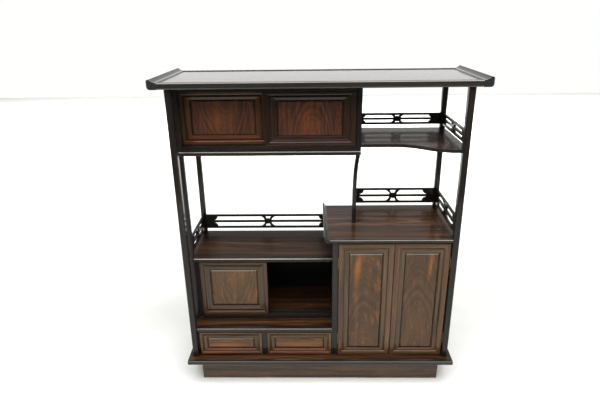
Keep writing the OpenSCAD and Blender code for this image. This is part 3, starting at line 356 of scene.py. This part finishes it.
def mitred_wood(piece, members, tongues, shade, inside, below):
    """members: the widths of stile, low rail and high rail, and how far in the groove lies on each"""
    made, tree, place = new_finish(piece + "_finish")
    stile, low_rail, high_rail, groove = members
    low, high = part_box(piece)
    split = node(tree, "SeparateXYZ", {"Vector": place})
    left = calc(tree, "SUBTRACT", split.outputs["X"], low.x)
    end = calc(tree, "SUBTRACT", high.x, split.outputs["X"])
    foot = calc(tree, "SUBTRACT", split.outputs["Z"], low.z + tongues[0])
    head = calc(tree, "SUBTRACT", high.z - tongues[1], split.outputs["Z"])
    beside = calc(tree, "DIVIDE", calc(tree, "MINIMUM", left, end), stile)
    over = calc(tree, "MINIMUM", calc(tree, "DIVIDE", foot, low_rail), calc(tree, "DIVIDE", head, high_rail))
    in_stile = calc(tree, "LESS_THAN", beside, over)
    along_rail, along_stile = (stretched(tree, place, axis, GRAIN_STRETCH) for axis in "XZ")
    turned = {0: in_stile, 4: along_rail, 5: along_stile}
    grain = node(tree, "Mix", turned, data_type="VECTOR").outputs[1]
    bands = noise(tree, grain, per_metre=70, detail=6, rough=0.6, twist=0.6)
    fibres, pores = fibres_and_pores(tree, grain)
    tone = calc(tree, "MULTIPLY_ADD", fibres, 0.3, calc(tree, "MULTIPLY", bands, 0.85))
    stops = tinted(FRAME_STOPS, (shade,) * 3)
    inward = calc(tree, "MINIMUM", beside, over)
    inner = spread(tree, inward, groove - 0.04, groove + 0.04)
    colour = blended(tree, inner, ramp(tree, tone, stops), ramp(tree, tone, tinted(stops, inside)))
    # The low rail takes its own tint, which is painted light on the case doors and painted shade on the
    # drawers
    in_rail = calc(tree, "SUBTRACT", 1.0, in_stile)
    in_low_rail = calc(tree, "MULTIPLY", in_rail, calc(tree, "LESS_THAN", foot, low_rail))
    colour = blended(tree, in_low_rail, colour, ramp(tree, tone, tinted(stops, below)))
    rounded = arris_normal(tree, radius=0.001)
    wear = patchy_wear(tree, place, rounded, most=0.5, per_metre=60, low=0.38, high=0.6)
    colour = blended(tree, wear, colour, [c * shade for c in FRAME_WORN])
    # Painted shade: the groove darkens with its depth behind the front face, and the outer edge darkens
    # towards the frame's rim
    in_groove = shade_by_depth(tree, split.outputs["Y"], low.y, *GROOVE_SHADE)
    frame_shade_mask = calc(tree, "MAXIMUM", in_groove, spread(tree, inward, *EDGE_SHADE))
    lacquer(tree, blended(tree, frame_shade_mask, colour, RECESS_SHADE), rounded, fibres, pores, clear=0.5)
    return made


SLIDING_TONGUES, NO_TONGUES = (0.004, 0.007), (0.0, 0.0)
CASE_DOOR = (0.053, 0.038, 0.033, 0.45), SLIDING_TONGUES
BAY_DOOR = (0.043, 0.050, 0.038, 0.38), SLIDING_TONGUES
HINGED_DOOR = (0.0435, 0.035, 0.0465, 0.52), NO_TONGUES
DRAWER = (0.0335, 0.031, 0.031, 0.38), NO_TONGUES
GREYER, REDDER = (0.82, 1.02, 1.15), (1.12, 1.02, 1.0)
# The two rail tints after EVEN are a painted light, brighter and redder, and a painted shade, darker and
# redder
EVEN, PAINTED_LIGHT_RAIL, PAINTED_SHADE_RAIL = (1.0, 1.0, 1.0), (1.6, 1.0, 0.85), (1.2, 0.72, 0.58)
# Each frame's members, shade of brown, the tint of its inner moulding, and its low rail's tint: painted light
# on the case doors and painted shade on the drawers
for piece, members, shade, inside, below in (
    ("case_door_left_frame", CASE_DOOR, 0.68, REDDER, PAINTED_LIGHT_RAIL),
    ("case_door_right_frame", CASE_DOOR, 0.24, REDDER, PAINTED_LIGHT_RAIL),
    ("bay_door_front_frame", BAY_DOOR, 0.65, GREYER, EVEN),
    ("bay_door_rear_frame", BAY_DOOR, 0.65, GREYER, EVEN),
    ("cabinet_door_left_frame", HINGED_DOOR, 1.1, GREYER, EVEN),
    ("cabinet_door_right_frame", HINGED_DOOR, 1.1, GREYER, EVEN),
    ("drawer_left_front", DRAWER, 1.1, GREYER, PAINTED_SHADE_RAIL),
    ("drawer_right_front", DRAWER, 1.1, GREYER, PAINTED_SHADE_RAIL),
):
    dress(mitred_wood(piece, *members, shade, inside, below), piece)

# Raised panels of the doors and drawers
# Plain-sawn rosewood: soft arches round the heart, with flames and one streak of orange or red brown.
# Each panel's bevelled edges slip into grooves in its frame, and its field stands proud.
OLIVE_STOPS = (
    (0.30, (0.018, 0.009, 0.004)),
    (0.46, (0.048, 0.023, 0.008)),
    (0.58, (0.082, 0.040, 0.012)),
    (0.78, (0.135, 0.068, 0.020)),
)
RED_STOPS = (
    (0.30, (0.010, 0.005, 0.004)),
    (0.46, (0.040, 0.015, 0.008)),
    (0.58, (0.078, 0.029, 0.014)),
    (0.78, (0.130, 0.050, 0.022)),
)
ORANGE = (0.290, 0.092, 0.014)
RED_BROWN = (0.200, 0.052, 0.014)
ROSEWOOD_PORE = (0.012, 0.006, 0.004)
PANEL_HEART_DEPTH = 0.012
PANEL_ZONE, PANEL_RING = 0.034, 0.0062
FLAME_STRETCH, FLAMES_PER_METRE = 0.22, 72
BEVEL_SHADE = (0.0022, 0.0040, 0.85)


def streaked(tree, split, axis, across, streak):
    """One long soft mark: its middle across and along the board, its lean, half width and half length"""
    middle, along, lean, width, length = streak
    run = calc(tree, "SUBTRACT", split.outputs[axis], along)
    aside = calc(tree, "SUBTRACT", split.outputs[across], middle)
    aside = calc(tree, "DIVIDE", calc(tree, "SUBTRACT", aside, calc(tree, "MULTIPLY", run, lean)), width)
    run = calc(tree, "DIVIDE", run, length)
    out = calc(tree, "MULTIPLY_ADD", aside, aside, calc(tree, "MULTIPLY", run, run))
    return calc(tree, "EXPONENT", calc(tree, "MULTIPLY", out, -1.0))


def rosewood(piece, axis, heart, tilt, streak, flames, colours, shade):
    made, tree, place = new_finish(piece + "_finish")
    stops, flame_colour = colours
    across = "X" if axis == "Z" else "Z"
    grain = stretched(tree, place, axis, GRAIN_STRETCH)
    away = from_heart(tree, place, axis, across, heart, PANEL_HEART_DEPTH, tilt)
    zones = growth(tree, away, PANEL_ZONE)
    rings = growth(tree, away, PANEL_RING)
    bands = noise(tree, grain, per_metre=62, detail=5, rough=0.62, twist=1.0)
    fibres, pores = fibres_and_pores(tree, grain, open_below=0.34)
    marks = calc(tree, "MULTIPLY_ADD", fibres, 0.18, calc(tree, "MULTIPLY", bands, 0.36))
    tone = calc(tree, "MULTIPLY_ADD", rings, 0.24, marks)
    tone = calc(tree, "MULTIPLY_ADD", zones, 0.25, tone)
    colour = ramp(tree, tone, tinted(stops, (shade,) * 3))
    split = node(tree, "SeparateXYZ", {"Vector": place})
    mark = streaked(tree, split, axis, across, streak)
    mark = calc(tree, "MULTIPLY", mark, spread(tree, bands, 0.36, 0.56, 0.45, 0.95))
    long_way = stretched(tree, place, axis, FLAME_STRETCH)
    licks = noise(tree, long_way, FLAMES_PER_METRE, detail=4, rough=0.6, twist=0.8)
    orange = calc(tree, "MAXIMUM", spread(tree, licks, 0.50, 0.70, 0.0, flames), mark)
    orange = calc(tree, "MULTIPLY", orange, spread(tree, rings, 0.3, 0.6, 0.55, 1.0))
    colour = blended(tree, orange, colour, flame_colour)
    colour = dark_pores(tree, colour, pores, 0.4, ROSEWOOD_PORE)
    # Painted shade: the panel's bevel is darkened by its depth behind the field
    on_bevel = shade_by_depth(tree, split.outputs["Y"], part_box(piece)[0].y, *BEVEL_SHADE)
    colour = blended(tree, on_bevel, colour, RECESS_SHADE)
    lacquer(tree, colour, arris_normal(tree, radius=0.0008), fibres, pores, clear=0.45)
    return made


OLIVE, RED = (OLIVE_STOPS, ORANGE), (RED_STOPS, RED_BROWN)
# Each panel's grain, the heart's place along and across it, its tilt, the streak, flames, colours and shade
for piece, axis, heart, tilt, streak, flames, colours, shade in (
    ("case_door_left_panel", "Z", (1.35, -0.36), 0.30, (-0.39, 1.12, 0.0, 0.014, 0.05), 0.3, RED, 1.35),
    ("case_door_right_panel", "Z", (0.95, -0.02), 0.30, (-0.05, 1.13, 0.0, 0.016, 0.06), 0.45, RED, 1.1),
    ("bay_door_front_panel", "Z", (0.7, -0.36), 0.25, (-0.272, 0.37, 0.1, 0.006, 0.03), 0.35, OLIVE, 1.25),
    ("bay_door_rear_panel", "Z", (0.2, -0.42), 0.25, (-0.38, 0.42, 0.1, 0.012, 0.06), 0.35, OLIVE, 1.25),
    ("cabinet_door_left_panel", "Z", (0.05, 0.19), 0.22, (0.155, 0.545, 0.10, 0.012, 0.07), 0.5, OLIVE, 1.0),
    ("cabinet_door_right_panel", "Z", (0.10, 0.40), 0.22, (0.445, 0.560, 0.06, 0.007, 0.06), 0.3, OLIVE, 1.0),
    ("drawer_left_panel", "X", (-0.6, 0.12), 0.10, (0.172, -0.40, 0.0, 0.012, 0.10), 0.5, OLIVE, 1.15),
    ("drawer_right_panel", "X", (0.2, 0.24), 0.10, (0.176, -0.08, 0.0, 0.012, 0.12), 0.4, OLIVE, 1.0),
):
    dress(rosewood(piece, axis, heart, tilt, streak, flames, colours, shade), piece)

# Hinges and shelf pegs
# Four small butt hinges are let into the wood beside the hinged doors, and four pegs carry the inner shelf.
# They are of metal, darkened brown and rubbed brighter on their edges.
METAL_STOPS = ((0.35, (0.10, 0.072, 0.045)), (0.7, (0.19, 0.145, 0.095)))
METAL_WORN = (0.42, 0.34, 0.24)
METAL_RELIEF = 0.0001


def dark_metal(name):
    made, tree, place = new_finish(name)
    shader = tree.nodes["Principled BSDF"]
    mottle = noise(tree, place, per_metre=260, detail=4, rough=0.6)
    rounded = arris_normal(tree, radius=0.0003)
    wear = calc(tree, "MULTIPLY", worn_arris(tree, rounded), 0.6)
    colour = blended(tree, wear, ramp(tree, mottle, METAL_STOPS), METAL_WORN)
    relief = {"Height": mottle, "Strength": 0.15, "Distance": METAL_RELIEF, "Normal": rounded}
    shader.inputs["Metallic"].default_value = 1.0
    tree.links.new(colour, shader.inputs["Base Color"])
    tree.links.new(spread(tree, mottle, 0.3, 0.7, 0.3, 0.5), shader.inputs["Roughness"])
    tree.links.new(node(tree, "Bump", relief).outputs["Normal"], shader.inputs["Normal"])
    return made


dress(dark_metal("dark_metal"), "hinges_fixed", "hinge_leaves_left", "hinge_leaves_right", "shelf_pegs")

# Openwork rails
# Low rails cut from thin black boards stand between the posts and clear of the shelves below them.
# Each has three bars, lobed end blocks, and curved bands with a turned boss in the middle.
dress(black_lengthwise, "back_galleries")
dress(black_wood("black_lacquer_crosswise", "Y"), "side_galleries")

# Floor
# A pale smooth floor with a faint sheen. The cabinet's plinth rests on it.
# It ends not far in front of the cabinet, so that only the lower fronts mirror it.
FLOOR_REACH = 8.0
FLOOR_FRONT = -2.4
FLOOR_STOPS = ((0.3, (0.80, 0.80, 0.77)), (0.7, (0.86, 0.86, 0.83)))
corners = [(-FLOOR_REACH, FLOOR_FRONT, 0), (FLOOR_REACH, FLOOR_FRONT, 0),
           (FLOOR_REACH, FLOOR_REACH, 0), (-FLOOR_REACH, FLOOR_REACH, 0)]
mesh = bpy.data.meshes.new("floor")
mesh.from_pydata(corners, [], [(0, 1, 2, 3)])
floor = bpy.data.objects.new("floor", mesh)
scene.collection.objects.link(floor)
floor_finish, tree, place = new_finish("floor_finish")
shader = tree.nodes["Principled BSDF"]
cloud = noise(tree, place, per_metre=3, detail=4)
tree.links.new(ramp(tree, cloud, FLOOR_STOPS), shader.inputs["Base Color"])
tree.links.new(spread(tree, cloud, 0.3, 0.7, 0.38, 0.5), shader.inputs["Roughness"])
mesh.materials.append(floor_finish)

# Light
# A broad soft light hangs in front above the cabinet, and a weaker one fills from the left.
# A third shines straight down on the floor behind, and a pale surround lights the rest.


def soft_light(name, place, aim, width, depth, power, beam=180):
    data = bpy.data.lights.new(name, "AREA")
    data.shape = "RECTANGLE"
    data.size, data.size_y, data.energy = width, depth, power
    data.spread = math.radians(beam)
    lamp = bpy.data.objects.new(name, data)
    lamp.location = place
    lamp.rotation_euler = (Vector(aim) - Vector(place)).to_track_quat("-Z", "Y").to_euler()
    scene.collection.objects.link(lamp)


soft_light("ceiling_light", (0.2, -1.6, 3.4), (0.0, -0.2, 0.3), width=4.5, depth=3.0, power=260)
soft_light("side_light", (-3.0, -1.6, 2.0), (0.0, 0.0, 0.6), width=1.5, depth=1.5, power=14)
soft_light("far_light", (0.0, 4.8, 4.8), (0.0, 4.8, 0.0), width=14.0, depth=4.0, power=700, beam=85)
world = bpy.data.worlds.new("surround")
world.use_nodes = True
scene.world = world
tree = world.node_tree
# The surround is brightest low down behind the cabinet, and seen directly it is plain white
towards = node(tree, "SeparateXYZ", {"Vector": node(tree, "TexCoord").outputs["Generated"]})
behind = spread(tree, towards.outputs["Y"], -0.35, 0.75, 0.12, 0.9)
room = calc(tree, "MULTIPLY", behind, spread(tree, towards.outputs["Z"], 0.08, 0.34, 1.25, 0.5))
seen = node(tree, "LightPath").outputs["Is Camera Ray"]
glow = node(tree, "Mix", {0: seen, 2: room, 3: 1.0}, data_type="FLOAT").outputs[0]
tree.nodes["Background"].inputs["Color"].default_value = (1.0, 1.0, 0.99, 1)
tree.links.new(glow, tree.nodes["Background"].inputs["Strength"])
scene.view_settings.view_transform = "Standard"
